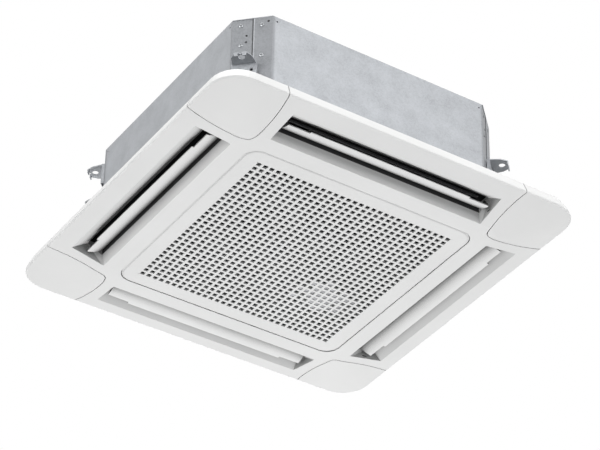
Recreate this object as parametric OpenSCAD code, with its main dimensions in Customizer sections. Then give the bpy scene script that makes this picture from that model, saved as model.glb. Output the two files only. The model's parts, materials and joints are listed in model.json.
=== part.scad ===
// Four-way ceiling cassette indoor unit: sheet steel body above the ceiling, moulded panel below it.
// Millimetres, +Z up. The origin is the centre of the four suspension holes. Inside the modules
// heights are measured from the ceiling's lower face, and place() moves each piece to the origin.

/* [Panel] */
// Width of the square panel over its rim
panel_w = 730; // [715:1:760]
// Depth of the panel below the ceiling
panel_drop = 43; // [41:0.5:46]
// Height of the upright rim
rim_h = 22; // [20:0.5:23]
// How far the rim leans in towards the ceiling
rim_lean = 8; // [5:0.5:9]
// Corner radius of the panel at its widest
panel_r = 55; // [45:1:60]
// Corner radius of the opening for the intake door
door_r = 27; // [22:1:32]
// Wall of the moulded panel
wall = 3; // [2.6:0.1:3.2]
// Width of the seams round the door and the corner covers
seam = 1.5; // [1.2:0.1:1.8]
// Width of the flange that seats on the ceiling
seat_w = 22; // [16:1:24]

/* [Corner covers] */
// Width of each corner cover, from its seam to the rim
cover_w = 123; // [121:0.5:126]
// How far a cover's seam bows out in its middle
cover_bow = 6; // [4:0.5:8]
// Radius of a cover's inner corner
cover_r = 14; // [10:1:18]
// Wall of a corner cover
cover_t = 2.5; // [2:0.1:2.8]
// Height of the pocket's floor below the ceiling
pocket_z = 12; // [10:0.5:13]
// Distance of a cover's inner posts from its seam
post_in = 26; // [22:1:30]
// Distance of a cover's outer posts from the panel's edge
post_out = 55; // [50:1:60]

/* [Intake door] */
// Width of the panel's face between the door's opening and the outlets
land_w = 32.75; // [32:0.25:34]
// Thickness of the door's border
door_t = 5; // [4.5:0.5:5.5]
// Width of the door's border round the intake grid
grid_border = 29.75; // [29:0.25:32]
// Thickness of the intake grid
grid_t = 3; // [2:0.5:4]
// Number of holes along one side of the grid
grid_count = 17; // [9:2:19]
// Width of a square hole as a share of the pitch
grid_open = 0.66; // [0.5:0.02:0.75]
// Plain margin between the grid's edge and its holes
grid_margin = 3; // [2:0.5:6]
// Distance of the door's hinge axis from its edge
hinge_in = 29.25; // [28:0.25:31]
// Height of the hinge axis above the door's face
hinge_up = 7; // [6.8:0.1:7.2]
// Radius of the hinge pins
hinge_r = 2; // [1.8:0.1:2.2]
// Distance of each hinge from the side of the door's opening
hinge_side = 14.75; // [14:0.25:15.5]

/* [Outlets and flaps] */
// Distance from an outlet's outer edge to the panel's edge
slot_margin = 34; // [33:0.5:36]
// Width of an outlet at the face
slot_w = 67.5; // [66:0.5:68]
// Distance from an outlet's end to the corner cover's seam
slot_gap = 27; // [26:0.5:30]
// Fall of the face from the rim to the outlets
margin_fall = 5.6; // [5.5:0.1:6]
// Rise of the face from the door to the outlets
land_rise = 1.5; // [1:0.1:2]
// How far the inner bezel draws in
bezel_in = 9.5; // [9:0.5:10]
// How far the outer bezel draws in
bezel_out = 27; // [26:0.5:28]
// How far the bezel draws in at an outlet's ends
bezel_end = 8; // [6:0.5:9]
// Height of the throat's inner edge below the ceiling
throat_low = 27; // [26:0.5:28]
// Height of the throat's outer edge below the ceiling
throat_high = 14; // [13:0.5:14]
// Distance of the flap's pins from the throat's inner wall
pin_in = 20.5; // [20:0.25:21]
// Height of the flap's pins below the ceiling
pin_z = 20.6; // [20.2:0.1:21]
// Chord of a flap
flap_w = 35.4; // [32:0.2:36]
// Distance of a flap's blade from its pins
flap_drop = 7; // [6.5:0.1:7.5]
// Thickness of a flap in its middle
flap_t = 2.7; // [2.2:0.1:3.2]
// Crown of a flap's face
flap_crown = 2.5; // [1.5:0.5:3]
// How far a flap's ends are narrower at the outer edge
flap_notch = 4; // [3:0.5:6]
// Length of the narrower ends of a flap
flap_end = 42; // [36:1:48]
// Tilt of the flaps as shown, outer edge down
flap_tilt = 23; // [18:1:28]
// Radius of a flap's pins
pin_r = 3; // [2.5:0.1:3.5]
// Running clearance round pins and shafts
run_gap = 0.06; // [0.04:0.01:0.09]
// Radius of a flap motor
motor_r = 12; // [10:0.5:12]
// Length of a flap motor
motor_l = 14; // [10:0.5:14]
// How deep a flap motor sits in the outlet's end
motor_sink = 5.5; // [5.5:0.1:6]

/* [Casing] */
// How far the panel reaches beyond the casing on each side
case_margin = 92.5; // [90:0.5:94]
// Cut at the casing's corners, along each side
case_cut = 50; // [45:1:55]
// Height of the casing's lower edge above the ceiling
case_low = 12; // [12:0.5:18]
// Height of the casing
case_h = 206; // [200:1:230]
// Thickness of the casing's sheet
sheet = 1; // [0.8:0.1:1.2]
// Thickness of the foam lining
liner_t = 12; // [10:1:13]
// Height of the drain pan
pan_h = 38; // [34:1:42]

/* [Suspension] */
// How much wider than the casing the suspension holes are set along X
hang_more = 1; // [-4:1:6]
// How much narrower than the casing they are set along Y
hang_less = 31; // [26:1:36]
// Height of the suspension brackets above the ceiling
hang_h = 115; // [105:1:150]
// Radius of a suspension hole
hang_r = 6; // [5:0.5:7]
// Width of a suspension bracket
hang_w = 44; // [38:1:48]
// Thickness of a suspension bracket
hang_t = 2; // [1.6:0.1:3]
// Height of the left corner's lifting lug above the ceiling
lug_z = 188; // [186:1:190]

/* [Fan and coil] */
// Gap between the fan wheel and the coil
fan_gap = 24; // [21:1:30]
// Number of fan blades
fan_blades = 7; // [5:1:9]
// How much smaller than the fan wheel the bell mouth's throat is
mouth_step = 30; // [26:1:36]
// Radius of the fan motor
fan_motor_r = 45; // [38:1:48]
// Radius of the fan shaft
shaft_r = 5; // [4:0.5:6]
// Distance from the coil to the casing's outside
coil_gap = 56.5; // [55.5:0.5:60]
// Depth of the coil's fins
coil_t = 27; // [22:1:28]
// Outer radius of the gas pipe
gas_r = 6.35; // [4.76:0.01:7.94]
// Outer radius of the liquid pipe
liquid_r = 3.175; // [3.17:0.005:4.77]
// Outer radius of the drain spigot
drain_r = 12.5; // [10:0.5:13]

/* [Hidden] */

white = [0.93, 0.93, 0.93];
zinc = [0.70, 0.72, 0.73];
black = [0.08, 0.08, 0.09];
copper = [0.78, 0.48, 0.32];
eps = 0.02;
small = 0.3;

edge = panel_w / 2;
slot_out = edge - slot_margin;
slot_in = slot_out - slot_w;
door_open = slot_in - land_w;
grid_half = door_open - grid_border;
hinge_x = door_open - hinge_side;
cover_seam = edge - cover_w;
slot_half = cover_seam - slot_gap;
case_half = edge - case_margin;
hang_x = 2 * case_half + hang_more;
hang_y = 2 * case_half - hang_less;
coil_half = case_half - coil_gap;
fan_r = coil_half - coil_t - fan_gap;
mouth_r = fan_r - mouth_step;
case_top_z = case_low + case_h;
inner = case_half - sheet;
corner_d = (2 * case_half - case_cut) / sqrt(2);
door_half = door_open - seam;
round_z = 2.5;
seat_t = 2;

module place() translate([0, 0, -hang_h]) children();
module side(k) rotate([0, 0, 90 * k]) children();

// square with round corners, by half width and corner radius
module round_square(half, r) {
  square([2 * half, 2 * (half - r)], center = true);
  square([2 * (half - r), 2 * half], center = true);
  for (x = [-1, 1], y = [-1, 1]) translate([x * (half - r), y * (half - r)]) circle(r);
}

module plate(half, r, z0, z1) translate([0, 0, z0]) linear_extrude(z1 - z0) round_square(half, r);

// octagon with cut corners, by half width and cut
module octagon(half, cut) polygon([[half, -half + cut], [half, half - cut], [half - cut, half],
  [-half + cut, half], [-half, half - cut], [-half, -half + cut], [-half + cut, -half], [half - cut, -half]]);

// Panel
// the face falls from the rim past the outlets to the door
face_edge = edge - 2;
face_top = rim_h + round_z;
function face_z(x) = lookup(x, [[door_open, -panel_drop], [slot_in, -panel_drop + land_rise],
  [slot_out, -face_top - margin_fall], [face_edge, -face_top]]);
function corner_r(x) = door_r + (panel_r - door_r) * (x - door_open) / (edge - door_open);
face_steps = [face_edge, slot_out, slot_in, door_open + 1];
rim_steps = [[0, edge - rim_lean - 1], [-1, edge - rim_lean], [-rim_h + 4, edge - 1], [-rim_h, edge]];

// the panel's outer form, drawn in by a wall for its inside
module panel_form(inset, top) hull() {
  for (s = rim_steps)
    translate([0, 0, s[0] - eps]) linear_extrude(eps)
      round_square(s[1] - inset, corner_r(s[1]) - inset, $fn = 32);
  for (x = face_steps)
    translate([0, 0, face_z(x) + inset]) linear_extrude(eps) round_square(x - inset, corner_r(x), $fn = 32);
  if (top > 0) translate([0, 0, top]) linear_extrude(eps)
    round_square(rim_steps[0][1] - inset, corner_r(edge) - inset, $fn = 32);
}

// outline of a corner cover, in the corner +X +Y, grown by g
cover_mid = (cover_seam + edge) / 2;
cover_big = (pow(cover_w / 2, 2) + pow(cover_bow, 2)) / (2 * cover_bow);
cover_c = cover_seam + cover_r - cover_bow / 4;
module cover_outline(g) intersection() {
  translate([cover_mid, cover_seam - cover_bow + cover_big]) circle(cover_big + g, $fn = 240);
  translate([cover_seam - cover_bow + cover_big, cover_mid]) circle(cover_big + g, $fn = 240);
  translate([cover_seam - 20, cover_seam - 20]) square(cover_w + 30);
  union() {
    translate([cover_c, cover_c]) circle(cover_r + g, $fn = 48);
    translate([cover_c, cover_seam - 20]) square(cover_w + 30);
    translate([cover_seam - 20, cover_c]) square(cover_w + 30);
  }
}

throat_in = slot_in + bezel_in;
throat_out = slot_out - bezel_out;
throat_half = slot_half - bezel_end;
block_end = slot_half + wall;
block_top = 6;
leg_t = 3;
// a gentle outer bezel, a steep inner one, and a throat between them
module slot_cut() {
  low = panel_drop + seat_t;
  in_run = bezel_in * (low - throat_low) / (-face_z(slot_in) - throat_low);
  out_run = bezel_out * (low - throat_high) / (-face_z(slot_out) - throat_high);
  end_run = bezel_end * (low - throat_low) / (panel_drop - throat_low - land_rise);
  hull() {
    translate([throat_in, -throat_half, -throat_low]) cube([eps, 2 * throat_half, eps]);
    translate([throat_out - eps, -throat_half, -throat_high]) cube([eps, 2 * throat_half, eps]);
    translate([throat_in - in_run, -throat_half - end_run, -low])
      cube([throat_out - throat_in + in_run + out_run, 2 * (throat_half + end_run), eps]);
  }
  translate([throat_in - leg_t, -throat_half, -throat_low])
    cube([throat_out - throat_in + leg_t, 2 * throat_half, throat_low]);
}

axis_x = throat_in + pin_in;
axis_z = -pin_z;
motor_y = block_end - motor_sink;
ear_w = 5;
hook_y = door_half - hinge_in;
hook_z = -panel_drop + hinge_up;
eye_r = hinge_r + 1.5;
hook_t = 6;
upstand_z = -8;
magnet_x = door_open * 0.52;
magnet_y = door_half - 13;
magnet_size = [30, 12, 12];
plate_t = 1;

module panel_frame() color(white) place() difference() {
  union() {
    difference() {
      panel_form(0, 0);
      panel_form(wall, 5);
      for (k = [0:3]) side(k) translate([0, 0, -panel_drop - 2]) linear_extrude(panel_drop + 4)
        cover_outline(seam / 2);
    }
    intersection() {
      panel_form(0, 0);
      union() {
        for (k = [0:3]) side(k) translate([slot_in - wall, -block_end, -panel_drop])
          cube([slot_out - slot_in + 2 * wall, 2 * block_end, panel_drop - block_top]);
        plate(door_open + wall, door_r + wall, -panel_drop - 1, upstand_z, $fn = 64);
        for (k = [0:3]) side(k) translate([0, 0, -panel_drop]) linear_extrude(panel_drop - pocket_z)
          difference() {
            cover_outline(seam / 2 + cover_t);
            cover_outline(seam / 2);
          }
      }
    }
    // pocket floors under the corner covers carry the panel's fixing screws
    intersection() {
      plate(edge - rim_lean - 5, panel_r - 5, -pocket_z - wall, -pocket_z);
      for (k = [0:3]) side(k) translate([0, 0, -panel_drop]) linear_extrude(panel_drop)
        cover_outline(seam / 2 + cover_t / 2);
    }
    ceiling_seat();
    for (m = [0, 1]) mirror([m, 0, 0]) door_hook();
  }
  door_hook_bores();
  difference() {
    plate(door_open, door_r, -panel_drop - 5, 5, $fn = 64);
    for (m = [0, 1]) mirror([m, 0, 0]) door_hook();
  }
  for (k = [0:3]) side(k) slot_cut();
  for (k = [0:3], s = [-1, 1]) side(k) translate([axis_x, s * (block_end + 1), axis_z])
    rotate([90 * s, 0, 0]) cylinder(r = pin_r + run_gap, h = bezel_end + wall + 3, $fn = 40);
  for (k = [0:3]) side(k) translate([axis_x, motor_y, axis_z]) rotate([-90, 0, 0]) {
    cylinder(r = motor_r + small, h = motor_sink + 1, $fn = 48);
    translate([-motor_r - ear_w - small, -4 - small, 0])
      cube([2 * (motor_r + ear_w + small), 8 + 2 * small, motor_sink + 1]);
  }
  at_screws(-pocket_z - wall - 1) cylinder(r = screw_r, h = wall + 2, $fn = 32);
}

// hook that hangs from the frame's inner wall and holds a hinge pin of the door
module door_hook() {
  translate([hinge_x - hook_t / 2, hook_y - 4.5, hook_z]) cube([hook_t, 6, upstand_z - hook_z]);
  translate([hinge_x - hook_t / 2, hook_y - 4.5, upstand_z - 4])
    cube([door_open + 1 - hinge_x + hook_t / 2, 6, 4]);
  translate([hinge_x - hook_t / 2, hook_y, hook_z]) rotate([0, 90, 0])
    cylinder(r = eye_r, h = hook_t, $fn = 40);
}
module door_hook_bores() for (x = [-1, 1]) translate([x * hinge_x - hook_t, hook_y, hook_z])
  rotate([0, 90, 0]) cylinder(r = hinge_r + run_gap, h = 2 * hook_t, $fn = 40);

// flange that rests on the ceiling, between the corner covers
screw_u = max(corner_d + 20, cover_seam * sqrt(2) + 28);
screw_v = -16;
screw_r = 3.5;
module at_screws(z) for (k = [0:3]) rotate([0, 0, 45 + 90 * k]) translate([screw_u, screw_v, z]) children();
module ceiling_seat() difference() {
  plate(edge - rim_lean - 1, panel_r - rim_lean, -seat_t, 0, $fn = 64);
  plate(edge - rim_lean - seat_w, panel_r - rim_lean - 5, -seat_t - 1, 1, $fn = 64);
  for (k = [0:3]) side(k) translate([0, 0, -seat_t - 1]) linear_extrude(seat_t + 2) cover_outline(seam / 2);
}

post_a = cover_seam + post_in;
post_b = edge - post_out;
module corner_cover(k) color(white) place() side(k) {
  difference() {
    intersection() {
      panel_form(0, 0);
      translate([0, 0, -panel_drop - 1]) linear_extrude(panel_drop + 1) cover_outline(-seam / 2);
    }
    panel_form(cover_t, 5);
  }
  // posts reach up to the pocket's floor
  intersection() {
    panel_form(cover_t / 2, 0);
    for (p = [[post_a, post_b], [post_b, post_a], [post_b, post_b]]) translate([p[0], p[1], -panel_drop])
      cylinder(r = 4, h = panel_drop - pocket_z - wall, $fn = 24);
  }
}
module corner_cover_far() corner_cover(0);
module corner_cover_left() corner_cover(1);
module corner_cover_near() corner_cover(2);
module corner_cover_right() corner_cover(3);

// Ducts that lead the air from the body out to the slots
duct_t = 2;
seal_t = 3;
duct_top = case_low - seal_t;
mouth_in = case_half - 46.5;
mouth_out = case_half - 14.5;
mouth_half = slot_half - 16;
// the outer wall bends from the throat back to the casing, in shares of its reach
duct_reach = throat_out - case_half - 3.5;
duct_bend = [[0, -block_top], [0.15, 1], [0.45, 6], [1, duct_top]];
duct_air = concat([[mouth_in, duct_top], [throat_in, -block_top]],
  [for (p = duct_bend) [throat_out - duct_reach * p[0], p[1]]], [[mouth_out, duct_top]]);
duct_out = concat([[mouth_in - leg_t, duct_top], [throat_in - leg_t, -block_top]],
  [for (p = duct_bend) [throat_out + duct_t * (1 - p[0] / 2) - duct_reach * p[0], p[1] + duct_t * p[0]]],
  [[case_half + 1, duct_top + duct_t], [case_half + 1, duct_top]]);
// places a profile drawn in X and Z, drawn out along Y
module along(half) rotate([90, 0, 0]) translate([0, 0, -half]) linear_extrude(2 * half) children();

module outlet_ducts() color(black) place() for (k = [0:3]) side(k) {
  difference() {
    along(throat_half + duct_t) polygon(duct_out);
    along(throat_half) polygon(duct_air);
  }
  // leg that lines the throat's inner wall
  along(throat_half) polygon([[throat_in - leg_t, -throat_low], [throat_in, -throat_low],
    [throat_in, -block_top], [throat_in - 1, -block_top + small], [throat_in - leg_t, -block_top + small]]);
}

module panel_seal() color(black) place() difference() {
  plate(case_half - 6, 20, duct_top, case_low);
  plate(mouth_in - 8, 10, duct_top - 1, case_low + 1);
  for (k = [0:3]) side(k) translate([mouth_in, -mouth_half, duct_top - 1])
    cube([mouth_out - mouth_in, 2 * mouth_half, seal_t + 2]);
}

// fixing bolts run from the pocket floors up to the casing's lower lip
bolt_len = case_low + sheet + pocket_z + wall + 8;
module panel_screws() color(zinc) place() at_screws(-pocket_z - wall) {
  translate([0, 0, -3]) cylinder(r = 6, h = 3, $fn = 24);
  translate([0, 0, -eps]) cylinder(r = screw_r - 0.5, h = bolt_len, $fn = 24);
  // washer and nut above the casing's tab
  translate([0, 0, pocket_z + wall + case_low + sheet]) cylinder(r = 6, h = 4, $fn = 6);
}

module catch_magnets() color(black) place() for (x = [-1, 1])
  translate([x * magnet_x - magnet_size[0] / 2, -door_open, -panel_drop + door_t + plate_t])
    difference() {
      cube([magnet_size[0], door_open - magnet_y + magnet_size[1] / 2, magnet_size[2]]);
      translate([5, 4, 4]) cube([magnet_size[0] - 10, magnet_size[1] - 5, magnet_size[2]]);
    }

// Intake door
door_back = -panel_drop + door_t;
lug_x = hinge_x + hook_t / 2 + 1.5;
module door_frame() color(white) place() {
  difference() {
    union() {
      hull() {
        plate(door_half - 3, door_r - 3, -panel_drop, -panel_drop + eps, $fn = 48);
        plate(door_half - 0.9, door_r - 0.9, -panel_drop + 0.9, -panel_drop + 1, $fn = 48);
        plate(door_half, door_r, -panel_drop + 3, door_back, $fn = 48);
      }
      plate(grid_half + 7, 8, door_back - eps, door_back + 7);
    }
    plate(grid_half, 3, -panel_drop - 1, door_back + 1);
    plate(grid_half + 4, 4, door_back, door_back + 8);
    for (x = [-1, 1]) translate([x * (hinge_x + 2.5) - 8, hook_y - 7, -panel_drop + 1.8]) cube([16, 16, 12]);
  }
  for (x = [-1, 1]) translate([x * lug_x, hook_y, hook_z]) rotate([0, 90 * x, 0]) {
    linear_extrude(4) union() {
      circle(hinge_r + 1.5, $fn = 32);
      translate([x > 0 ? 0 : -hinge_up + 1.8 - eps, -hinge_r - 1.5])
        square([hinge_up - 1.8 + eps, 2 * hinge_r + 3]);
    }
    translate([0, 0, -hook_t - 2]) cylinder(r = hinge_r, h = hook_t + 2 + eps, $fn = 32);
  }
}

grid_pitch = 2 * (grid_half - grid_margin) / grid_count;
module door_grid() color(white) place() difference() {
  plate(grid_half, 3, -panel_drop, -panel_drop + grid_t);
  translate([0, 0, -panel_drop - 1]) linear_extrude(grid_t + 2)
    for (i = [0:grid_count - 1], j = [0:grid_count - 1])
      translate([(i - (grid_count - 1) / 2) * grid_pitch, (j - (grid_count - 1) / 2) * grid_pitch])
        square(grid_pitch * grid_open, center = true);
}

module catch_plates() color(zinc) place() for (x = [-1, 1])
  translate([x * magnet_x - magnet_size[0] / 2, -magnet_y - magnet_size[1] / 2, door_back])
    cube([magnet_size[0], magnet_size[1], plate_t]);

filter_half = grid_half + 3.5;
filter_pitch = 2 * (filter_half - 12) / 5;
module filter_frame() color([0.45, 0.47, 0.5]) place() difference() {
  plate(filter_half, 4, door_back, door_back + 4);
  plate(filter_half - 8, 2, door_back - 1, door_back + 1.5);
  for (i = [-2:2], j = [-2:2]) translate([i * filter_pitch, j * filter_pitch, door_back - 1])
    plate(filter_pitch / 2 - 1.5, 2, 0, 6);
}

module filter_mesh() color([0.75, 0.77, 0.8]) place()
  plate(filter_half - 8.2, 2, door_back + 0.5, door_back + 1.5);

// Flaps, in the section X Z with the pin at the origin before they are tilted
function flap_low(t) = -flap_drop - flap_crown / 2 + flap_crown * pow(2 * t / flap_w, 2);
function flap_up(t) = flap_low(t) + 1.2 + (flap_t - 1.2) * (1 - pow(2 * t / flap_w, 2));
flap_steps = 8;
module flap_section(out) {
  t = [for (i = [0:flap_steps]) -flap_w / 2 + (flap_w - out) * i / flap_steps];
  polygon(concat([for (x = t) [x, flap_low(x)]],
    [for (i = [flap_steps:-1:0]) [t[i], flap_up(t[i])]]));
}
flap_half = throat_half - 2;
cheek_t = 2.5;
module flap(k) color(white) place() side(k) translate([axis_x, 0, axis_z]) rotate([0, flap_tilt, 0]) {
  along(flap_half - flap_end) flap_section(0);
  along(flap_half) flap_section(flap_notch);
  // stiffening rib along the back
  along(flap_half - 1)
    polygon([[-9, flap_up(-9) - 0.4], [-7, flap_up(-7) - 0.4], [-7.4, -2.5], [-8.6, -2.5]]);
  for (s = [-1, 1]) {
    for (y = [flap_half - cheek_t / 2, flap_half - flap_end - cheek_t]) translate([0, s * y, 0])
      along(cheek_t / 2) union() {
        circle(pin_r + 2, $fn = 32);
        polygon([[-9, flap_up(-9) - 0.4], [8, flap_up(8) - 0.4], [pin_r + 2, 0], [-pin_r - 2, 0]]);
      }
    translate([0, s * (flap_half - eps), 0]) rotate([-90 * s, 0, 0])
      cylinder(r = pin_r, h = pin_end(s) - flap_half + eps, $fn = 40);
  }
}
function pin_end(s) = s > 0 ? motor_y + 8 : block_end;
module flap_right() flap(0);
module flap_back() flap(1);
module flap_left() flap(2);
module flap_front() flap(3);

module flap_motor(k) color([0.6, 0.62, 0.64]) place() side(k) translate([axis_x, motor_y, axis_z])
  rotate([-90, 0, 0]) difference() {
    union() {
      cylinder(r = motor_r, h = motor_l, $fn = 48);
      translate([-motor_r - ear_w, -4, 0]) cube([2 * (motor_r + ear_w), 8, 1.5]);
      translate([-6, -motor_r + 3, motor_l - 8]) cube([12, 2 * motor_r - 6, 8 - eps]);
    }
    translate([0, 0, -1]) cylinder(r = pin_r + run_gap, h = 10, $fn = 40);
    for (x = [-1, 1]) translate([x * (motor_r + ear_w / 2), 0, -1]) cylinder(r = 1.5, h = 4, $fn = 20);
  }
module flap_motor_right() flap_motor(0);
module flap_motor_back() flap_motor(1);
module flap_motor_left() flap_motor(2);
module flap_motor_front() flap_motor(3);

// Casing: four side sheets whose bent flanges overlap at the cut corners
cut_len = case_cut * sqrt(2);
flange_outer = cut_len * 0.48;
flange_inner = cut_len * 0.7;
lip_w = 10;
side_half = case_half - case_cut;
deep = sheet * 1.3;
corner_sum = case_half + side_half;
tab_w = 24;
module case_sheet() {
  d = sheet / sqrt(2);
  f = flange_outer / sqrt(2);
  g = flange_inner / sqrt(2);
  top = case_top_z - sheet;
  far_x = case_half - g;
  far_y = corner_sum - far_x - sqrt(2) * deep;
  // outer flange at the -Y end, inner flange one sheet deeper at the +Y end
  translate([0, 0, case_low]) linear_extrude(top - case_low)
    polygon([[case_half, -side_half], [case_half, corner_sum - case_half - sqrt(2) * deep], [far_x, far_y],
      [far_x - d, far_y - d], [inner, corner_sum - inner - sqrt(2) * (deep + sheet)],
      [inner, -corner_sum + inner + sqrt(2) * sheet], [case_half - f - d, -side_half - f + d],
      [case_half - f, -side_half - f]]);
  // lower lip under the pan
  translate([0, 0, case_low]) linear_extrude(sheet)
    polygon([[case_half - eps, -side_half + lip_w], [case_half - eps, side_half - lip_w],
      [case_half - lip_w - sheet, side_half - 2 * lip_w],
      [case_half - lip_w - sheet, -side_half + 2 * lip_w]]);
  // tab on the inner flange for a fixing bolt of the panel
  rotate([0, 0, 45]) translate([corner_d - deep - eps, screw_v - tab_w / 2, case_low]) difference() {
    cube([screw_u - corner_d + deep + 10, tab_w, sheet]);
    translate([screw_u - corner_d + deep + eps, tab_w / 2, -1])
      cylinder(r = screw_r, h = sheet + 2, $fn = 32);
  }
}
module case_side(k) {
  top = case_top_z - sheet;
  difference() {
    case_sheet();
    if (k == 0) {
      for (p = pipe_holes) translate([case_half - 5, p[0], p[1]]) rotate([0, 90, 0])
        cylinder(r = p[2], h = 10, $fn = 40);
    }
    for (y = [-1, 1]) translate([case_half - 3, y * (side_half - 9), top - 9]) rotate([0, 90, 0])
      cylinder(r = 1.6, h = 6, $fn = 20);
  }
}
// pipe exits on the hidden right side, as [y, z, radius]
pump_at = case_half - 58.5;
gas_y = coil_half - 66;
liquid_y = gas_y - 38;
pipe_z = 130;
drain_y = pump_at - 18;
drain_z = 150;
pipe_holes = [[gas_y, pipe_z, gas_r + 8], [liquid_y, pipe_z, liquid_r + 8], [drain_y, drain_z, drain_r + 2]];
module case_right() color(zinc) place() side(0) case_side(0);
module case_back() color(zinc) place() side(1) case_side(1);
module case_left() color(zinc) place() side(2) case_side(2);
module case_front() color(zinc) place() side(3) case_side(3);

rim_down = 14;
module case_top() color(zinc) place() {
  translate([0, 0, case_top_z - sheet]) linear_extrude(sheet) octagon(case_half, case_cut);
  translate([0, 0, case_top_z - rim_down]) linear_extrude(rim_down - sheet + eps) difference() {
    octagon(inner - 2.6 * sheet, case_cut);
    octagon(inner - 3.6 * sheet, case_cut - 0.4);
  }
}

// pan head screws in the cut corners, as [tangential, height]
module case_screws() color([0.82, 0.84, 0.85]) place() {
  for (k = [0:3]) rotate([0, 0, 45 + 90 * k]) {
    for (p = [[17, case_top_z - 18], [17, hang_h + 18], [17, case_low + 24]])
      translate([corner_d, p[0], p[1]]) rotate([0, 90, 0]) cylinder(r = 3.6, h = 2, $fn = 20);
    for (p = [[-21, case_top_z - 14], [-21, hang_h + 46]])
      translate([corner_d - deep, p[0], p[1]]) rotate([0, 90, 0]) cylinder(r = 3.6, h = 2, $fn = 20);
  }
}

// Suspension brackets: a foot on the cut corner and an ear with the rod hole
hang_d = (hang_x + hang_y) / 2 / sqrt(2);
hang_v = (hang_x - hang_y) / 2 / sqrt(2);
ear_end = 12;
foot_h = 82;
lug_h = 44;
foot_d = 6;
module hanger(v, at_z, foot_h) {
  foot = corner_d + small;
  ear = hang_d - foot;
  translate([foot, v - hang_w / 2, at_z]) difference() {
    union() {
      translate([0, 0, -hang_t]) linear_extrude(hang_t) polygon([[0, 0], [ear, 4], [ear + ear_end, 11],
        [ear + ear_end, hang_w / 2 - 5], [ear + ear_end - 4, hang_w / 2], [ear + ear_end, hang_w / 2 + 5],
        [ear + ear_end, hang_w - 11], [ear, hang_w - 4], [0, hang_w]]);
      // the foot is a shallow channel with its flanges on the casing
      difference() {
        translate([0, 0, -foot_h]) cube([foot_d, hang_w, foot_h - eps]);
        translate([-1, hang_t, -foot_h - 1])
          cube([foot_d - hang_t + 1, hang_w - 2 * hang_t, foot_h + 1 - hang_t]);
      }
      for (y = [11, hang_w - 18]) translate([ear + ear_end - hang_t, y, -8]) cube([hang_t, 7, 8 - eps]);
    }
    translate([ear, hang_w / 2, -hang_t - 1]) cylinder(r = hang_r, h = hang_t + 2, $fn = 48);
    for (y = [-1, 1], z = [16, foot_h - 10]) translate([foot_d - hang_t - 1, hang_w / 2 + y * 13, -z])
      rotate([0, 90, 0]) cylinder(r = 3, h = hang_t + 2, $fn = 24);
  }
}
module hanger_far() color(zinc) place() rotate([0, 0, 45]) hanger(-hang_v, hang_h, foot_h);
module hanger_left() color(zinc) place() rotate([0, 0, 135]) {
  hanger(hang_v, hang_h, foot_h);
  // the photo shows a second lug here, near the casing's top
  hanger(hang_v, lug_z, lug_h);
}
module hanger_near() color(zinc) place() rotate([0, 0, 225]) hanger(-hang_v, hang_h, foot_h);
module hanger_right() color(zinc) place() rotate([0, 0, 315]) hanger(hang_v, hang_h, foot_h);

// Inside the body
liner_out = inner - 4.2 * sheet;
liner_in = liner_out - liner_t;
pan_top = case_low + pan_h;
roof_z = case_top_z - sheet;
roof_t = 15;
module foam_liner() color([0.9, 0.9, 0.88]) place() difference() {
  translate([0, 0, pan_top]) linear_extrude(roof_z - pan_top) octagon(liner_out, case_cut);
  translate([0, 0, pan_top - 1]) linear_extrude(roof_z - pan_top - roof_t + 1)
    octagon(liner_in, case_cut - 2);
  translate([0, 0, pan_top]) cylinder(r = motor_plate_r + 4, h = case_h, $fn = 64);
  for (p = pipe_holes) translate([liner_in - 5, p[0], p[1]]) rotate([0, 90, 0])
    cylinder(r = p[2], h = liner_t + 10, $fn = 40);
}

coil_r = 55;
bell_flange = coil_half - 20;
bell_r = bell_flange - 18;
trough_in = coil_half - coil_t - 5;
trough_out = coil_half + 4;
trough_z = case_low + 16;
sump_z = case_low + 14;
sump_r = 30;
module drain_pan() color([0.92, 0.92, 0.9]) place() difference() {
  union() {
    translate([0, 0, case_low + sheet]) linear_extrude(pan_h - sheet) octagon(inner - 1.6 * sheet, case_cut);
    translate([0, 0, case_low]) linear_extrude(2)
      octagon(case_half - lip_w - 2 * sheet, case_cut - lip_w - 4);
  }
  translate([0, 0, case_low - 1]) cylinder(r = bell_r, h = pan_h + 2, $fn = 96);
  difference() {
    plate(trough_out, coil_r + 5, trough_z, pan_top + 1, $fn = 64);
    plate(trough_in, coil_r - 15, trough_z - 6, pan_top + 2, $fn = 64);
  }
  // sump under the drain pump
  translate([pump_at, pump_at, sump_z]) cylinder(r = sump_r, h = pan_h, $fn = 48);
  for (k = [0:3]) side(k) translate([mouth_in + 2, -mouth_half, case_low - 1])
    cube([mouth_out - mouth_in - 2, 2 * mouth_half, pan_h + 2]);
}

// bell mouth: flat flange under the pan, then a round flare up to the throat
bell_t = 2;
bell_top = pan_top + 18;
bell_steps = 9;
bell_z = case_low - bell_t;
flare_r = bell_r - 6;
flare_h = 42;
function flare(i, t) = [flare_r - (flare_r - mouth_r - t) * cos(90 * i / bell_steps),
  bell_z + flare_h - (flare_h - t) * sin(90 * i / bell_steps)];
module bell_mouth() color([0.2, 0.21, 0.22]) place() rotate_extrude($fn = 72) polygon(concat(
  [[mouth_r + bell_t, bell_top], [mouth_r, bell_top]],
  [for (i = [0:bell_steps]) flare(i, 0)], [[bell_flange, bell_z], [bell_flange, bell_z + bell_t]],
  [for (i = [bell_steps:-1:0]) flare(i, bell_t)]));

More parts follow.
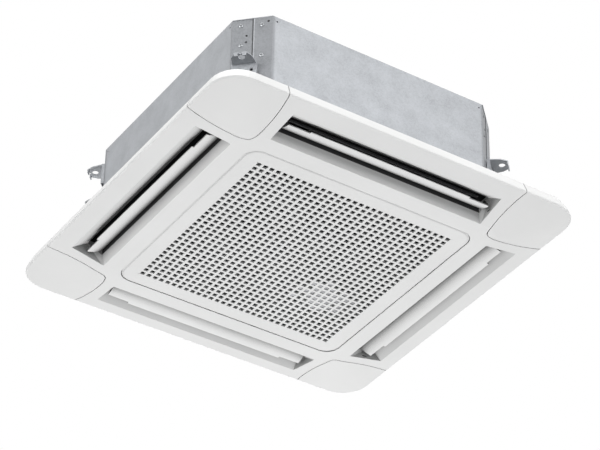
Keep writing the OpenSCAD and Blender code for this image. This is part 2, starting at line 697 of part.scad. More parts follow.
coil_low = trough_z + small;
coil_high = roof_z - roof_t;
groove = 3;
groove_pitch = 20;
groove_n = floor((coil_half - coil_r - groove_pitch) / groove_pitch);
module coil_fins() color([0.8, 0.82, 0.84]) place() difference() {
  plate(coil_half, coil_r, coil_low, coil_high, $fn = 64);
  plate(coil_half - coil_t, coil_r - coil_t, coil_low - 1, coil_high + 1, $fn = 64);
  translate([coil_half - coil_r, coil_half - coil_r, coil_low - 1]) cube([100, 100, coil_high]);
  // every sixteenth gap between the fins is cut as a groove
  for (k = [0:3], i = [-groove_n:groove_n]) side(k)
    translate([coil_half - 6, i * groove_pitch - groove / 2, coil_low + 10])
    cube([7, groove, coil_high - coil_low - 20]);
}

bend_rows = 4;
bend_r = 3.5;
row_gap = (coil_high - coil_low) / bend_rows;
// hairpin bends at the coil's two ends
module coil_bends() color(copper) place() for (m = [0, 1], i = [0:bend_rows - 1])
  mirror([m, -m, 0]) translate([coil_half - coil_t / 2, coil_half - coil_r, coil_low + row_gap * (i + 0.25)])
    rotate([0, -90, 90]) mirror([0, 0, 1]) translate([row_gap / 4, 0, 0]) rotate([90, 0, 0])
      rotate_extrude(angle = 180, $fn = 24) translate([row_gap / 4, 0]) circle(bend_r, $fn = 12);

head_dy = 22;
gas_head_r = 8;
liquid_head_r = 6;
header_x = coil_half + gas_head_r + small;
module coil_header() color(copper) place() {
  for (p = [[gas_y + head_dy, gas_head_r], [liquid_y + head_dy, liquid_head_r]])
    translate([header_x, p[0], pan_top + small])
      cylinder(r = p[1], h = coil_high - pan_top - 2 * small, $fn = 32);
}

nut_l = 20;
stub_l = 12;
collar_l = nut_l + 4;
pipe_end = case_half + 58;
function collar_r(r) = r * 1.15;
// a pipe runs in from outside and turns to its header
module pipe_run(y, r, head) {
  translate([header_x, y, pipe_z]) rotate([0, 90, 0]) cylinder(r = r, h = pipe_end - header_x, $fn = 40);
  translate([pipe_end - stub_l - collar_l, y, pipe_z]) rotate([0, 90, 0])
    cylinder(r = collar_r(r), h = collar_l, $fn = 40);
  translate([header_x, y, pipe_z]) rotate([-90, 0, 0]) cylinder(r = r, h = head_dy - head, $fn = 32);
  translate([header_x, y, pipe_z]) sphere(r, $fn = 32);
}
module gas_pipe() color(copper) place() pipe_run(gas_y, gas_r, gas_head_r);
module liquid_pipe() color(copper) place() pipe_run(liquid_y, liquid_r, liquid_head_r);

module pipe_nuts() color([0.8, 0.65, 0.3]) place()
  for (p = [[gas_y, gas_r, 13], [liquid_y, liquid_r, 9]])
    translate([pipe_end - nut_l - stub_l, p[0], pipe_z]) rotate([0, 90, 0]) difference() {
      union() {
        cylinder(r = p[2], h = nut_l - 6, $fn = 6);
        cylinder(r = p[2] * 0.82, h = nut_l, $fn = 32);
      }
      translate([0, 0, -1]) cylinder(r = collar_r(p[1]) + 0.02, h = nut_l + 2, $fn = 40);
    }

// blanking plate round the pipes, screwed over the holes of the right side
module pipe_plate() color(zinc) place() difference() {
  translate([case_half, liquid_y - 26, pipe_z - 30]) cube([1.5, gas_y - liquid_y + 50, 60]);
  translate([case_half - 1, gas_y, pipe_z]) rotate([0, 90, 0]) cylinder(r = gas_r + 0.5, h = 4, $fn = 40);
  translate([case_half - 1, liquid_y, pipe_z]) rotate([0, 90, 0])
    cylinder(r = liquid_r + 0.5, h = 4, $fn = 40);
}

// Condensate: pump in the corner, its outlet bends to the spigot on the right side
pump_low = sump_z + 8;
pump_high = drain_z + 14;
pump_r = 22;
neck_r = 9;
neck_l = 30;
drain_wall = 2.5;
arm_drop = 20;
module drain_spigot() color([0.75, 0.76, 0.78]) place() difference() {
  union() {
    translate([pump_at + pump_r + small, drain_y, drain_z]) rotate([0, 90, 0])
      cylinder(r = drain_r, h = case_half + 45 - pump_at - pump_r - small, $fn = 48);
    translate([case_half, drain_y, drain_z]) rotate([0, 90, 0]) cylinder(r = drain_r + 5, h = 3, $fn = 48);
  }
  translate([pump_at + pump_r + 4, drain_y, drain_z]) rotate([0, 90, 0])
    cylinder(r = drain_r - drain_wall, h = 120, $fn = 48);
}

module drain_pump() color([0.25, 0.26, 0.28]) place() {
  translate([pump_at, pump_at, pump_low + neck_l])
    cylinder(r = pump_r, h = pump_high - pump_low - neck_l, $fn = 48);
  translate([pump_at, pump_at, pump_low]) cylinder(r = neck_r, h = neck_l + 1, $fn = 32);
  translate([pump_at, pump_at - 18, drain_z]) rotate([0, 90, 0])
    cylinder(r = drain_r - 1, h = pump_r, $fn = 40);
  // hanger strap up to the roof, and the arm that carries the float switch
  translate([pump_at - 10, pump_at - 10, pump_high - eps]) cube([20, 20, roof_z - roof_t - pump_high + eps]);
  translate([float_x - 5, float_y - 5, pump_high - arm_drop]) cube([24, 10, 4]);
}

float_x = pump_at - 25;
float_y = pump_at - 9;
stem_r = 3;
stop_z = trough_z + 4;
float_h = 14;
float_travel = 12;
module float_stem() color([0.85, 0.86, 0.88]) place() translate([float_x, float_y, 0]) {
  translate([0, 0, stop_z]) cylinder(r = stem_r, h = pump_high - arm_drop - stop_z, $fn = 32);
  translate([0, 0, stop_z - 2]) cylinder(r = 6, h = 2 + eps, $fn = 32);
  translate([0, 0, stop_z + 2 * small + float_h + float_travel]) cylinder(r = 6, h = 2, $fn = 32);
}
module float() color([0.2, 0.2, 0.22]) place() translate([float_x, float_y, stop_z + small]) difference() {
  cylinder(r = 8, h = float_h, $fn = 40);
  translate([0, 0, -1]) cylinder(r = stem_r + 0.3, h = float_h + 2, $fn = 32);
}

// Control box under the bell mouth's flange, behind the intake door
box_l = 230;
box_out = door_open - 16.75;
box_in = box_out - 38;
box_low = -24;
box_t = 1.2;
module control_box() color(zinc) place() difference() {
  translate([-box_l / 2, -box_out, box_low + box_t])
    cube([box_l, box_out - box_in, bell_z - box_low - box_t]);
  translate([-box_l / 2 + box_t, -box_out + box_t, box_low])
    cube([box_l - 2 * box_t, box_out - box_in - 2 * box_t, bell_z - box_low - box_t]);
}
module control_cover() color([0.66, 0.68, 0.7]) place()
  translate([-box_l / 2 - 2, -box_out - 1, box_low]) cube([box_l + 4, box_out - box_in + 2, box_t]);
block_at = box_l * 0.17;
block_l = box_l * 0.26;
block_pitch = block_l * 0.19;
module terminal_block() color(black) place() difference() {
  translate([block_at, -box_out + 6, bell_z - box_t - 14]) cube([block_l, 18, 14]);
  for (i = [0:4]) translate([block_at + block_l * 0.08 + i * block_pitch, -box_out + 11, bell_z - box_t - 15])
    cube([block_pitch * 0.6, 8, 6]);
}

// Turbo fan under its motor
motor_plate_r = fan_motor_r + 37;
motor_rise = 96;
motor_low = pan_top + motor_rise;
motor_high = roof_z - 9;
module fan_motor() color([0.7, 0.72, 0.74]) place() difference() {
  union() {
    translate([0, 0, motor_low]) cylinder(r = fan_motor_r, h = motor_high - motor_low, $fn = 64);
    translate([0, 0, motor_high - 4]) cylinder(r = fan_motor_r + 23, h = 4, $fn = 64);
    translate([0, 0, motor_low - 6]) cylinder(r = 14, h = 7, $fn = 48);
  }
  translate([0, 0, motor_low - 7]) cylinder(r = shaft_r + run_gap, h = 30, $fn = 48);
}
module motor_feet() color(black) place() for (a = [0:120:240]) rotate([0, 0, a])
  translate([fan_motor_r + 12, 0, motor_high]) cylinder(r = 8, h = 6, $fn = 32);
module motor_mount() color(zinc) place() translate([0, 0, motor_high + 6])
  cylinder(r = motor_plate_r, h = roof_z - motor_high - 6, $fn = 64);

hub_top = motor_low + 10;
hub_low = motor_low - 36;
hub_t = 2.5;
hub_r = fan_motor_r + 27;
cone_r = shaft_r + 17;
module fan_hub() color([0.16, 0.17, 0.18]) place() rotate_extrude($fn = 72)
  polygon([[shaft_r + 0.02, hub_low], [cone_r - 6, hub_low], [cone_r, hub_low + 6], [hub_r, hub_top - hub_t],
    [fan_r, hub_top - hub_t], [fan_r, hub_top], [hub_r - 2, hub_top], [cone_r - 2, hub_low + 6 + 2 * hub_t],
    [cone_r - 8, hub_low + 26], [shaft_r + 0.02, hub_low + 26]]);
shroud_low = bell_top - 8;
shroud_high = shroud_low + 20;
module fan_shroud() color([0.16, 0.17, 0.18]) place() rotate_extrude($fn = 72)
  polygon([[mouth_r + 3, shroud_low], [mouth_r + 5, shroud_low], [mouth_r + 7.5, shroud_low + 8],
    [mouth_r + 14, shroud_low + 15], [fan_r, shroud_high], [fan_r, shroud_high + 2],
    [mouth_r + 12, shroud_low + 17.5], [mouth_r + 5, shroud_low + 9]]);

// backward curved blades between the shroud and the back plate
blade_t = 2.4;
blade_in = hub_r + (fan_r - hub_r) / 3;
blade_steps = 8;
function blade_at(i, s) = let (f = i / blade_steps, r = blade_in + (fan_r - 3 - blade_in) * f,
    a = -42 * f * (1 + 0.25 * f))
  [r * cos(a) + s * sin(a + 55), r * sin(a) - s * cos(a + 55)];
module blade_shape() polygon(concat([for (i = [0:blade_steps]) blade_at(i, -blade_t / 2)],
  [for (i = [blade_steps:-1:0]) blade_at(i, blade_t / 2)]));
module fan_vanes() color([0.18, 0.19, 0.2]) place() difference() {
  for (k = [0:fan_blades - 1]) rotate([0, 0, 360 / fan_blades * k])
    translate([0, 0, shroud_low + 12]) linear_extrude(hub_top - hub_t - shroud_low - 12) blade_shape();
  // the blades' lower edges follow the shroud, with an open eye under the inlet
  rotate_extrude($fn = 72) polygon([[0, shroud_low], [mouth_r + 5, shroud_low], [mouth_r + 5, shroud_low + 9],
    [mouth_r + 12, shroud_low + 17.5], [fan_r, shroud_high + 2], [fan_r + 5, shroud_high + 2],
    [fan_r + 5, shroud_low - 5], [0, shroud_low - 5]]);
}

module fan_shaft() color([0.75, 0.76, 0.78]) place() translate([0, 0, hub_low - 12])
  cylinder(r = shaft_r, h = motor_low + 20 - hub_low + 12, $fn = 48);
module fan_nut() color([0.8, 0.8, 0.78]) place() translate([0, 0, hub_low - 8]) difference() {
  cylinder(r = 9.5, h = 8, $fn = 6);
  translate([0, 0, -1]) cylinder(r = shaft_r + 0.02, h = 10, $fn = 48);
}

panel_frame();
corner_cover_near();
corner_cover_right();
corner_cover_far();
corner_cover_left();
outlet_ducts();
panel_seal();
panel_screws();
catch_magnets();
door_frame();
door_grid();
catch_plates();
filter_frame();
filter_mesh();
flap_right();
flap_back();
flap_left();
flap_front();
flap_motor_right();
flap_motor_back();
flap_motor_left();
flap_motor_front();
case_right();
case_back();
case_left();
case_front();
case_top();
case_screws();
hanger_near();
hanger_right();
hanger_far();
hanger_left();
foam_liner();
drain_pan();
bell_mouth();
coil_fins();
coil_bends();
coil_header();
gas_pipe();
liquid_pipe();
pipe_nuts();
pipe_plate();
drain_spigot();
drain_pump();
float_stem();
float();
control_box();
control_cover();
terminal_block();
fan_motor();
motor_mount();
motor_feet();
fan_hub();
fan_vanes();
fan_shroud();
fan_shaft();
fan_nut();
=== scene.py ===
import bpy, bmesh, json, math, random
from mathutils import Matrix, Vector


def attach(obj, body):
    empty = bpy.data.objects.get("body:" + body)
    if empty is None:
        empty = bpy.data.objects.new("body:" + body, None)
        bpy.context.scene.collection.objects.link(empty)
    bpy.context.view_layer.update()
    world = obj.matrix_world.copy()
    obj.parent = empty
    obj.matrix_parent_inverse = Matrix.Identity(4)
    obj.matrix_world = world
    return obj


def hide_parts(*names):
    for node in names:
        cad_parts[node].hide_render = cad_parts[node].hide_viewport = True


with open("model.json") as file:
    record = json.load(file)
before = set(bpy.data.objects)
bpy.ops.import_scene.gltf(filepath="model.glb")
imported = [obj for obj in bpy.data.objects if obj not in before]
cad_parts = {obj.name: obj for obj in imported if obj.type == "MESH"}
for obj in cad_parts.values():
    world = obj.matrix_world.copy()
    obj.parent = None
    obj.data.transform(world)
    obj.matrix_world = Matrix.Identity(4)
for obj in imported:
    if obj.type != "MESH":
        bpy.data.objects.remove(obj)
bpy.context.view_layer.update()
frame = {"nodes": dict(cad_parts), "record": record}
N = frame["nodes"]
scene = bpy.context.scene
scene.view_settings.view_transform = "Standard"

# Heights in metres: the ceiling's lower face, the panel's lowest face, the casing's ends
CEIL = -0.115
FACE = CEIL - 0.043
CASE_LOW, CASE_TOP = CEIL + 0.012, CEIL + 0.218

# Camera, fitted to the panel as the photograph shows it
CAMERA_AT = (-2.0609, -3.2933, -2.8675)
CAMERA_RIGHT, CAMERA_BACK = (0.84002, -0.54231, 0.01601), (-0.43331, -0.68836, -0.58173)
LENS, SENSOR = 160.7, 36
cam_data = bpy.data.cameras.new("camera")
cam = bpy.data.objects.new("camera", cam_data)
scene.collection.objects.link(cam)
right, back = Vector(CAMERA_RIGHT).normalized(), Vector(CAMERA_BACK).normalized()
right = (right - back * right.dot(back)).normalized()
up = back.cross(right)
cam.matrix_world = Matrix.Translation(CAMERA_AT) @ Matrix((right, up, back)).transposed().to_4x4()
cam_data.sensor_width = SENSOR
cam_data.lens = LENS
cam_data.clip_start = 0.1
cam_data.clip_end = 60
scene.camera = cam

# Materials
MATS = {}


class Tree:
    """A node tree, with short ways to add nodes and join them"""

    def __init__(self, tree):
        self.nodes, self.links = tree.nodes, tree.links

    def feed(self, node, inputs):
        # an input takes another node's output, or a number or colour of its own
        for key, value in inputs.items():
            if isinstance(value, bpy.types.NodeSocket):
                self.links.new(value, node.inputs[key])
            else:
                node.inputs[key].default_value = value
        return node

    def add(self, kind, inputs=None):
        return self.feed(self.nodes.new(kind), inputs or {})

    def coordinates(self):
        return self.add("ShaderNodeTexCoord").outputs["Object"]

    def noise(self, place, scale, detail=3, rough=0.5, output="Fac"):
        inputs = {"Vector": place, "Scale": scale, "Detail": detail, "Roughness": rough}
        return self.add("ShaderNodeTexNoise", inputs).outputs[output]

    def ramp(self, value, stops):
        # a stop is a position with a colour, or with one number for a grey
        node = self.add("ShaderNodeValToRGB", {"Fac": value})
        marks = node.color_ramp.elements
        marks[0].position, marks[1].position = stops[0][0], stops[-1][0]
        for position, _ in stops[1:-1]:
            marks.new(position)
        for mark, (_, colour) in zip(marks, stops):
            mark.color = (*(colour if isinstance(colour, list) else [colour] * 3), 1)
        return node.outputs["Color"]

    def maths(self, operation, *values):
        node = self.nodes.new("ShaderNodeMath")
        node.operation = operation
        return self.feed(node, dict(enumerate(values))).outputs[0]

    def vectors(self, operation, *values):
        node = self.nodes.new("ShaderNodeVectorMath")
        node.operation = operation
        self.feed(node, dict(enumerate(values)))
        return node.outputs["Value" if operation == "LENGTH" else "Vector"]

    def mix(self, blend, factor, a, b):
        node = self.nodes.new("ShaderNodeMix")
        node.data_type = "RGBA"
        node.blend_type = blend
        return self.feed(node, {"Factor": factor, "A": a, "B": b}).outputs["Result"]

    def between(self, value, low, high):
        inputs = {"Value": value, "To Min": low, "To Max": high}
        return self.add("ShaderNodeMapRange", inputs).outputs["Result"]

    def bump(self, height, distance, strength):
        inputs = {"Height": height, "Distance": distance, "Strength": strength}
        return self.add("ShaderNodeBump", inputs).outputs["Normal"]

    def seen_or_lit(self, seen, lit):
        # seen is for the rays that see or mirror the background, lit for those that light the unit
        path = self.add("ShaderNodeLightPath").outputs
        rays = path["Is Camera Ray"]
        for kind in ("Is Glossy Ray", "Is Transmission Ray"):
            rays = self.maths("MAXIMUM", rays, path[kind])
        return self.add("ShaderNodeMixShader", {0: rays, 1: lit, 2: seen}).outputs[0]


def material(name):
    MATS[name] = bpy.data.materials.new(name)
    MATS[name].use_nodes = True
    tree = MATS[name].node_tree
    return Tree(tree), tree.nodes["Principled BSDF"]


def lin(rgb):
    # from a colour as it is seen to linear light
    return [c / 12.92 if c <= 0.04045 else ((c + 0.055) / 1.055) ** 2.4 for c in rgb]


def shade(colour, factor):
    return [min(1, c * factor) for c in colour]


def moulded(name, rgb, rough=0.45, grain=0.00004, spread=0.02, painted_shade=None):
    # plastic or foam: grain is its depth in metres, and spread the part by which the colour varies
    t, shader = material(name)
    place = t.coordinates()
    c = lin(rgb)
    cloud = t.noise(place, scale=9, detail=4)
    colour = t.ramp(cloud, [(0.3, shade(c, 1 - spread)), (0.7, shade(c, 1 + spread))])
    if painted_shade:
        # painted shade: ambient occlusion scales the colour by the given ramp, darkest in the recesses round
        # the flaps
        occlusion = t.add("ShaderNodeAmbientOcclusion", {"Distance": 0.05})
        occlusion.samples = 12
        colour = t.mix("MULTIPLY", 1, colour, t.ramp(occlusion.outputs["AO"], painted_shade))
    fine = t.noise(place, scale=1400, detail=2)
    t.feed(shader, {
        "Base Color": colour,
        "Roughness": t.between(fine, rough - 0.04, rough + 0.06),
        "Normal": t.bump(fine, distance=grain, strength=0.5),
    })


# Spangle cells to the metre, how far a noise bends them, and where |x| + |y| reaches the cut corners
SPANGLE, SPANGLE_BEND = 430, 0.003
CORNER_FROM, CORNER_FULL = 0.4885, 0.4895


def galvanised(name, rgb, flange=None):
    # zinc sheet; flange is the factor of painted shade on the bent flanges across the casing's cut corners,
    # which darkens their colour
    t, shader = material(name)
    place = t.coordinates()
    bend = t.noise(place, scale=90, detail=2, output="Color")
    bent = t.vectors("MULTIPLY_ADD", bend, [SPANGLE_BEND] * 3, place)
    cells = t.add("ShaderNodeTexVoronoi", {"Vector": bent, "Scale": SPANGLE}).outputs["Color"]
    spangle = t.add("ShaderNodeSeparateColor", {"Color": cells}).outputs["Red"]
    # the sheet's cloudy sheen is wider than its spangle
    cloud = t.noise(place, scale=22, detail=5, rough=0.6)
    sheen = t.maths("MULTIPLY_ADD", spangle, 0.34, cloud)
    c = lin(rgb)
    colour = t.ramp(sheen, [(0.32, shade(c, 0.81)), (0.67, c), (1.0, shade(c, 1.15))])
    if flange:
        # painted shade: the flanges across the cut corners get a darker colour
        axes = t.add("ShaderNodeSeparateXYZ", {"Vector": place}).outputs
        reach = t.maths("ADD", t.maths("ABSOLUTE", axes["X"]), t.maths("ABSOLUTE", axes["Y"]))
        corner_shade = t.ramp(reach, [(CORNER_FROM, 1), (CORNER_FULL, flange)])
        colour = t.mix("MULTIPLY", 1, colour, corner_shade)
    t.feed(shader, {
        "Base Color": colour,
        "Metallic": 0.35,
        "Roughness": t.between(spangle, 0.42, 0.62),
        "Normal": t.bump(sheen, distance=0.00008, strength=0.4),
    })


def plain_metal(name, rgb, rough, scale=300):
    t, shader = material(name)
    cloud = t.noise(t.coordinates(), scale)
    c = lin(rgb)
    t.feed(shader, {
        "Base Color": t.ramp(cloud, [(0.3, shade(c, 0.85)), (0.7, c)]),
        "Metallic": 0.85,
        "Roughness": t.between(cloud, rough - 0.08, rough + 0.08),
    })


# Middle of the painted highlight on the filter net, and how steeply it fades along x and y
HIGHLIGHT_X, HIGHLIGHT_Y = 0.117, 0.088
FADE_X, FADE_Y = 16, 24


def net(name, pitch, dark, pale):
    t, shader = material(name)
    place = t.coordinates()
    waves = []
    for direction in ("X", "Y"):
        wave = t.add("ShaderNodeTexWave", {"Vector": place, "Scale": 1 / pitch / 3.1416 * 0.5})
        wave.bands_direction = direction
        waves.append(wave.outputs["Fac"])
    threads = t.ramp(t.maths("MAXIMUM", *waves), [(0.3, 0.3), (0.8, 1)])
    mottle = t.noise(place, scale=14, detail=5, rough=0.6)
    woven = t.mix("MULTIPLY", 0.6, t.ramp(mottle, [(0.45, lin(dark)), (0.72, lin(pale))]), threads)
    # painted highlight: one part of the net is paler and blotchy, fading from its middle
    middle = (-FADE_X * HIGHLIGHT_X, -FADE_Y * HIGHLIGHT_Y, 0)
    away = t.vectors("LENGTH", t.vectors("MULTIPLY_ADD", place, (FADE_X, FADE_Y, 0), middle))
    blots = t.noise(place, scale=110, detail=4, rough=0.7)
    amount = t.maths("MULTIPLY", t.ramp(away, [(0.35, 1), (1, 0)]), t.ramp(blots, [(0.4, 0.1), (0.56, 1)]))
    t.feed(shader, {
        "Base Color": t.mix("MIX", amount, woven, (0.9, 0.9, 0.9, 1)),
        "Roughness": 0.8,
    })


# Painted shade: the factor on the colour by how open a place is, from a closed corner (0) to an open face
# (1); where it rises above 1, in the tightest gaps and holes, it paints light
PANEL_PAINTED_SHADE = [(0.1, 1.24), (0.28, 0.8), (0.42, 0.34), (0.58, 0.64), (0.76, 0.9), (0.9, 1)]
DOOR_PAINTED_SHADE = [(0.2, 1.24), (0.45, 1)]
FLAP_PAINTED_SHADE = [(0.5, 0.1), (0.7, 0.5), (0.84, 0.86), (0.94, 1)]
WHITE = (0.895, 0.895, 0.892)
ZINC = (0.655, 0.665, 0.68)

moulded("panel_white", WHITE, rough=0.56, painted_shade=PANEL_PAINTED_SHADE)
moulded("door_white", WHITE, rough=0.58, painted_shade=DOOR_PAINTED_SHADE)
moulded("flap_white", (0.905, 0.905, 0.902), rough=0.52, painted_shade=FLAP_PAINTED_SHADE)
moulded("duct_foam", (0.26, 0.26, 0.265), rough=0.8, grain=0.0003, spread=0.2)
galvanised("zinc_steel", ZINC)
galvanised("case_zinc", ZINC, flange=0.68)
plain_metal("screw_zinc", (0.66, 0.67, 0.68), rough=0.35)
moulded("black_plastic", (0.12, 0.12, 0.125), rough=0.5, spread=0.1)
moulded("rubber_foot", (0.1, 0.1, 0.1), rough=0.7, spread=0.1)
net("filter_net", pitch=0.0016, dark=(0.10, 0.10, 0.11), pale=(0.5, 0.5, 0.52))
moulded("lint", (0.68, 0.68, 0.69), rough=0.9, grain=0.0006, spread=0.3)
moulded("white_foam", (0.9, 0.9, 0.88), rough=0.75, grain=0.0004)
plain_metal("fin_aluminium", (0.82, 0.83, 0.84), rough=0.4)
plain_metal("copper", (0.78, 0.58, 0.48), rough=0.38, scale=120)
plain_metal("brass_nut", (0.78, 0.70, 0.50), rough=0.36, scale=200)
moulded("pale_plastic", (0.8, 0.81, 0.82))
plain_metal("motor_steel", (0.72, 0.73, 0.74), rough=0.4)
moulded("fan_plastic", (0.16, 0.165, 0.17), rough=0.5, spread=0.1)

CASE_SIDES = ("case_right", "case_back", "case_left", "case_front")
for s in frame["record"]["subparts"]:
    slots = N[s["node"]].data.materials
    mat = MATS["case_zinc" if s["node"] in CASE_SIDES else s["material_slot"]]
    if len(slots) == 0:
        slots.append(mat)
    for i in range(len(slots)):
        slots[i] = mat


# Mesh helpers
def piece(name, bm, mat, body, smooth=False):
    me = bpy.data.meshes.new(name)
    bm.to_mesh(me)
    bm.free()
    me.materials.append(MATS[mat])
    for p in me.polygons:
        p.use_smooth = smooth
    o = bpy.data.objects.new(name, me)
    scene.collection.objects.link(o)
    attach(o, body)
    return o


def sheet_of(bm, rows):
    # faces between each row of points and the next
    vs = [[bm.verts.new(p) for p in row] for row in rows]
    for a, b in zip(vs, vs[1:]):
        for i in range(len(a) - 1):
            bm.faces.new((a[i], a[i + 1], b[i + 1], b[i]))


def cap(bm, loop):
    # a face across a loop of points whose last is its first again
    bm.faces.new([bm.verts.new(p) for p in loop[:-1]])


def join_up(bm):
    # joins points that meet and turns the faces outwards
    bmesh.ops.remove_doubles(bm, verts=bm.verts, dist=0.000001)
    bmesh.ops.recalc_face_normals(bm, faces=bm.faces)


# Intake grille: the true lattice of square holes, with softened edges
GRILLE_HALF = 0.201
COUNT, PITCH, HOLE, LIP = 31, 0.013, 0.0078, 0.0005
GRILLE_TOP = FACE + 0.003


def hole_at(i):
    return (i - (COUNT - 1) / 2) * PITCH


def lattice():
    bm = bmesh.new()
    half = COUNT * PITCH / 2
    xs = [-half + i * PITCH for i in range(COUNT + 1)]
    xs[0], xs[-1] = -GRILLE_HALF, GRILLE_HALF
    cache = {}

    def v(x, y, z):
        k = (round(x, 6), round(y, 6), round(z, 6))
        if k not in cache:
            cache[k] = bm.verts.new(k)
        return cache[k]

    def box(x0, y0, x1, y1, z):
        return [v(x0, y0, z), v(x1, y0, z), v(x1, y1, z), v(x0, y1, z)]

    def ring(a, b, flip):
        for i in range(4):
            q = [a[i], a[(i + 1) % 4], b[(i + 1) % 4], b[i]]
            bm.faces.new(q[::-1] if flip else q)

    def cell(i, j, z):
        return box(xs[i], xs[j], xs[i + 1], xs[j + 1], z)

    def square(i, j, r, z):
        cx, cy = hole_at(i), hole_at(j)
        return box(cx - r, cy - r, cx + r, cy + r, z)

    for i in range(COUNT):
        for j in range(COUNT):
            low = square(i, j, HOLE / 2 + LIP, FACE)
            lip = square(i, j, HOLE / 2, FACE + LIP)
            top = square(i, j, HOLE / 2, GRILLE_TOP)
            ring(cell(i, j, FACE), low, True)
            ring(low, lip, True)
            ring(lip, top, True)
            ring(cell(i, j, GRILLE_TOP), top, False)
    # the four outer edges, each in its own direction round the grille
    g = GRILLE_HALF
    for a, b in zip(xs, xs[1:]):
        for p, q in (((a, -g), (b, -g)), ((g, a), (g, b)), ((b, g), (a, g)), ((-g, b), (-g, a))):
            bm.faces.new([v(*p, FACE), v(*q, FACE), v(*q, GRILLE_TOP), v(*p, GRILLE_TOP)])
    return bm


grid = piece("intake_lattice", lattice(), "door_white", "door")
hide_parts("door_grid")

# Lint caught in the grille's holes round one place: a thin ragged scrap in each.
# The further a hole is from the middle, and the worse its luck, the sooner it stays clear.
LINT_X, LINT_Y, LINT_REACH = 0.118, 0.083, 0.052
LINT_LUCK, LINT_LIMIT = 0.85, 1.2
LINT_DEEP, LINT_VARY = 0.001, 0.0016
LINT_THICK, LINT_OVER = 0.0003, 0.0002
rnd = random.Random(7)
bm = bmesh.new()
for i in range(COUNT):
    for j in range(COUNT):
        cx, cy = hole_at(i), hole_at(j)
        away = math.hypot(cx - LINT_X, cy - LINT_Y) / LINT_REACH
        luck, depth = rnd.random(), LINT_DEEP + LINT_VARY * rnd.random()
        cuts = [rnd.uniform(0.2, 1.0) for _ in range(4)]
        if away + LINT_LUCK * luck > LINT_LIMIT:
            continue
        e = HOLE / 2 + LINT_OVER
        pts = [(-e * cuts[0], -e), (e * cuts[1], -e), (e, -e * cuts[2]), (e, e * cuts[3]),
               (e * cuts[2], e), (-e * cuts[3], e), (-e, e * cuts[1]), (-e, -e * cuts[0])]
        below, above = [[bm.verts.new((cx + x, cy + y, FACE + depth + rise)) for x, y in pts]
                        for rise in (0, LINT_THICK)]
        bm.faces.new(below[::-1])
        bm.faces.new(above)
        for a in range(8):
            b = (a + 1) % 8
            bm.faces.new((below[a], below[b], above[b], above[a]))
piece("grille_lint", bm, "lint", "door")

# Soft lip round the door's edge, which narrows the seam to the panel: how far each ring
# of points grows past the door's edge, and its height above the panel's lowest face
DOOR_HALF, DOOR_R = 0.22925, 0.027
LIP_PROFILE = [(-0.0013, 0.0011), (0.0003, 0.0012), (0.0006, 0.0014),
               (0.0007, 0.0017), (0.0006, 0.002), (-0.0013, 0.0022)]


def rounded(half, r, z, steps=14):
    # a square with round corners
    pts = []
    for k in range(4):
        cx = (half - r) * (1 if k in (0, 3) else -1)
        cy = (half - r) * (1 if k in (0, 1) else -1)
        for i in range(steps + 1):
            a = math.pi / 2 * k + math.pi / 2 * i / steps
            pts.append(Vector((cx + r * math.cos(a), cy + r * math.sin(a), z)))
    return pts


bm = bmesh.new()
rings = []
for grow, rise in LIP_PROFILE:
    rings.append([bm.verts.new(q) for q in rounded(DOOR_HALF + grow, DOOR_R + grow, FACE + rise)])
for a, b in zip(rings, rings[1:] + rings[:1]):
    for i in range(len(a)):
        j = (i + 1) % len(a)
        bm.faces.new((a[i], a[j], b[j], b[i]))
bmesh.ops.recalc_face_normals(bm, faces=bm.faces)
piece("door_lip", bm, "door_white", "door", smooth=True)

# Cut corners of the casing: screw heads, folded hem, a dark bead that paints the shadow at the flanges' step,
# and black discs that paint the shade in small holes.
# The outer flange lies over the inner one, and SINK is how far a piece's foot goes into the sheet.
OUTER, INNER = 0.35002, 0.35002 - 0.0013
SINK = 0.0002
TURNS = [math.radians(45 + 90 * k) for k in range(4)]


def on_corner(turn, out, along, z):
    # out is the distance from the unit's axis, along runs round the unit
    c, s = math.cos(turn), math.sin(turn)
    return Vector((out * c - along * s, out * s + along * c, z))


HEAD_R, HEAD_H, CROSS_DEEP = 0.0036, 0.002, 0.0011
CROSS_WIDE, CROSS_LONG = 0.13, 0.56
STEPS = [-1, -0.86, -0.62, -CROSS_LONG, -0.19, -CROSS_WIDE, CROSS_WIDE, 0.19, CROSS_LONG, 0.62, 0.86, 1]


def screw_head(bm, turn, out, along, z):
    # pan head with a cross recess; its grid is bent into a disc
    rows = []
    for u in STEPS:
        row = []
        for v in STEPS:
            x, y = u * math.sqrt(1 - v * v / 2), v * math.sqrt(1 - u * u / 2)
            h = HEAD_H * (0.45 + 0.53 * math.sqrt(1 - 0.98 * min(1.0, x * x + y * y)))
            if min(abs(u), abs(v)) <= CROSS_WIDE and max(abs(u), abs(v)) <= CROSS_LONG:
                h -= CROSS_DEEP
            row.append(on_corner(turn, out + h, along + x * HEAD_R, z + y * HEAD_R))
        rows.append(row)
    sheet_of(bm, rows)
    last = len(STEPS) - 1
    rim = ([(i, 0) for i in range(last)] + [(last, i) for i in range(last)]
           + [(last - i, last) for i in range(last)] + [(0, last - i) for i in range(last)])
    top = [rows[i][j] for i, j in rim]
    top.append(top[0])
    radial = on_corner(turn, 1, 0, 0)
    foot = [q - radial * (q.dot(radial) - out + SINK) for q in top]
    sheet_of(bm, [top, foot])
    cap(bm, foot)


# Screws and plugs are given by their distance from the unit's axis, place along the corner, and height
SCREWS = [(OUTER, 0.017, z) for z in (CASE_TOP - 0.018, 0.018, CASE_LOW + 0.024)]
SCREWS += [(INNER, -0.021, z) for z in (CASE_TOP - 0.014, 0.046)]
bm = bmesh.new()
for turn in TURNS:
    for out, along, z in SCREWS:
        screw_head(bm, turn, out, along, z)
join_up(bm)
screws = piece("case_screw_heads", bm, "screw_zinc", "unit")
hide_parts("case_screws")

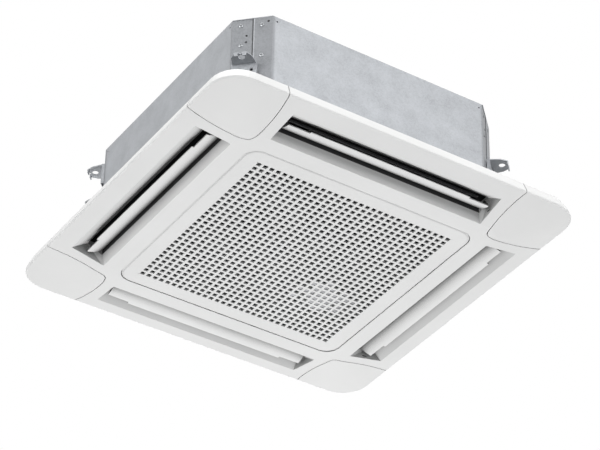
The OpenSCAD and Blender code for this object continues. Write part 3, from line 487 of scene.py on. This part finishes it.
# Heights of a bead's rows of points, how full the bead is there, and the half circle across it
BEAD_ROWS = [(CASE_LOW + 0.001, 0.3), (CASE_LOW + 0.002, 1), (CASE_TOP - 0.003, 1), (CASE_TOP - 0.002, 0.3)]
HALF_CIRCLE = [math.pi * i / 8 for i in range(9)]


def beads(name, out, along, wide, proud, mat):
    # a rounded strip up each cut corner, with closed ends
    bm = bmesh.new()
    for turn in TURNS:
        rows = []
        for z, full in BEAD_ROWS:
            row = [on_corner(turn, out - SINK + proud * full * math.sin(a), along - wide / 2 * math.cos(a), z)
                   for a in HALF_CIRCLE]
            row.append(row[0])
            rows.append(row)
        sheet_of(bm, rows)
        for row in (rows[0], rows[-1]):
            cap(bm, row)
    join_up(bm)
    piece(name, bm, mat, "unit", smooth=True)


# painted shadow: a dark bead beside the outer flange's edge, where the step between the flanges casts shade
beads("corner_shadow_beads", INNER, along=0.0004, wide=0.0021, proud=0.0011, mat="duct_foam")
beads("corner_hems", OUTER, along=0.0027, wide=0.0022, proud=0.0007, mat="zinc_steel")

# Small black discs, painted shade for the dark insides of holes in the cut corners: the radius of each ring
# of points, and its height above the sheet
HOLE_SHADE_PROFILE = [(0.0022, -SINK), (0.0022, 0.00005), (0.0019, 0.0004), (0.0013, 0.0004), (0.0012, 0.0001)]
HOLE_SHADES = [(INNER, -0.0106, 0.066), (INNER, -0.0112, 0.052), (OUTER, 0.0279, 0.092)]
CIRCLE = [math.tau * i / 16 for i in range(17)]
bm = bmesh.new()
for turn in TURNS:
    for out, along, z in HOLE_SHADES:
        rings = [[on_corner(turn, out + h, along + r * math.cos(a), z + r * math.sin(a)) for a in CIRCLE]
                 for r, h in HOLE_SHADE_PROFILE]
        sheet_of(bm, rings)
        for end in (rings[0], rings[-1]):
            cap(bm, end)
join_up(bm)
piece("corner_hole_shades", bm, "black_plastic", "unit")

# Stage: a plain pale floor far below the hanging unit
FLOOR_HALF, FLOOR_Z = 18, -8
bm = bmesh.new()
bmesh.ops.create_grid(bm, x_segments=1, y_segments=1, size=FLOOR_HALF)
me = bpy.data.meshes.new("floor")
bm.to_mesh(me)
bm.free()
t, shader = material("floor")
t.feed(shader, {"Base Color": (0.8, 0.8, 0.8, 1), "Roughness": 0.9})
glow = t.add("ShaderNodeEmission", {"Color": (1, 1, 1, 1)})
t.feed(t.nodes["Material Output"], {"Surface": t.seen_or_lit(glow.outputs[0], shader.outputs[0])})
me.materials.append(MATS["floor"])
floor = bpy.data.objects.new("floor", me)
floor.location = (0, 0, FLOOR_Z)
scene.collection.objects.link(floor)

# World: white where it is seen or mirrored, softer as a light
world = bpy.data.worlds.new("world")
scene.world = world
world.use_nodes = True
world.node_tree.nodes.clear()
t = Tree(world.node_tree)
lit = t.add("ShaderNodeBackground", {"Color": (0.95, 0.975, 1.0, 1), "Strength": 0.17})
seen = t.add("ShaderNodeBackground", {"Color": (1, 1, 1, 1), "Strength": 1})
t.add("ShaderNodeOutputWorld", {"Surface": t.seen_or_lit(seen.outputs[0], lit.outputs[0])})

# Lamps: name, place, size, power in watts, and the point that it is aimed at
LAMPS = [
    ("key", (2.2, 3.3, -6.8), 3.0, 452, (0, 0, -0.1)),
    ("front", (0.5, -3.6, 0.6), 1.8, 106, (0, 0, 0)),
    ("left", (-3.4, -0.6, 0.1), 1.6, 72, (0, 0, 0)),
    ("behind", (2.6, 3.0, 1.8), 2.4, 100, (0, 0, 0)),
    ("above", (-0.8, 0.6, 5), 3, 110, (0, 0, 0)),
]
for name, where, size, power, target in LAMPS:
    lamp = bpy.data.lights.new(name, "AREA")
    lamp.shape = "DISK"
    lamp.size = size
    lamp.energy = power
    o = bpy.data.objects.new(name, lamp)
    o.location = where
    o.rotation_euler = (Vector(target) - Vector(where)).to_track_quat("-Z", "Y").to_euler()
    scene.collection.objects.link(o)
